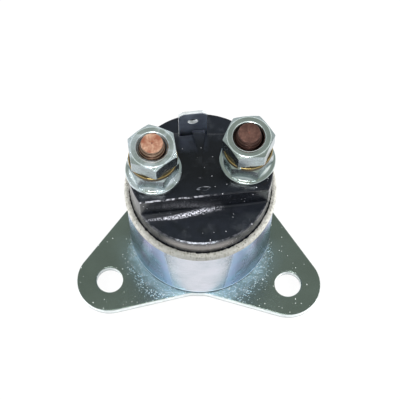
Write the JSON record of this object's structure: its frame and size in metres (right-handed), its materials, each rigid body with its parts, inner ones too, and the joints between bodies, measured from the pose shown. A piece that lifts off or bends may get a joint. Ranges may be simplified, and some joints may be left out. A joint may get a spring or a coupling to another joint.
{
  "type": "contactor",
  "caption": "Small 12 V starter contactor: zinc-plated can on a two-hole mounting plate, black cap with copper studs and nuts, and a spade terminal.",
  "frame": {"origin": "the can's axis at the mounting face, the underside of the plate", "axes": "+X along the two mounting holes, +Y towards the can's back, away from the holes, +Z along the can's axis towards the terminals"},
  "size_m": [0.0588, 0.0397, 0.0519],
  "materials": {
    "plate_zinc": "zinc-plated, grey-green",
    "can_zinc": "bright zinc plating",
    "black_moulding": "black thermoset moulding, semi-gloss",
    "copper": "bare copper",
    "nut_zinc": "zinc-plated",
    "yellow_zinc": "yellow-passivated zinc",
    "blade_plating": "tin-plated brass",
    "rubber": "matt",
    "brass": "drawn",
    "bobbin_plastic": "natural nylon",
    "enamelled_wire": "enamelled copper wire",
    "tape": "insulating tape",
    "soft_iron": "zinc-plated soft iron",
    "gasket_paper": "gasket board",
    "spring_steel": "spring wire",
    "fibre": "vulcanised fibre"
  },
  "bodies": {
    "housing": {"mounting_plate": "plate_zinc", "can": "can_zinc", "bumper": "rubber", "guide_tube": "brass", "coil_bobbin": "bobbin_plastic", "coil_winding": "enamelled_wire", "winding_tape": "tape", "top_plate": "soft_iron", "fixed_core": "soft_iron", "cap_gasket": "gasket_paper", "cap": "black_moulding", "left_stud": "copper", "right_stud": "copper", "flange_nuts": "nut_zinc", "spring_washers": "yellow_zinc", "hex_nuts": "nut_zinc", "spade_terminal": "blade_plating", "spade_lead": "enamelled_wire", "ground_lead": "enamelled_wire", "return_spring": "spring_steel"},
    "plunger": {"plunger": "soft_iron", "plunger_rod": "brass", "rod_clip": "spring_steel", "contact_spring": "spring_steel"},
    "contact": {"contact_disc": "copper", "disc_bush": "bobbin_plastic", "disc_washer": "fibre"}
  },
  "joints": [
    {"name": "plunger_slide", "type": "slide", "parent": "housing", "child": "plunger", "axis": [0, 0, 1], "range_m": [0, 0.0028], "stiffness_N_per_m": 300, "springref_m": -0.005, "deforming": ["return_spring"]},
    {"name": "contact_slide", "type": "slide", "parent": "plunger", "child": "contact", "axis": [0, 0, 1], "range_m": [-0.0008, 0], "deforming": ["contact_spring"]}
  ],
  "couplings": [
    {"joint": "contact_slide", "follows": "plunger_slide", "ratio": -0.2857}
  ]
}
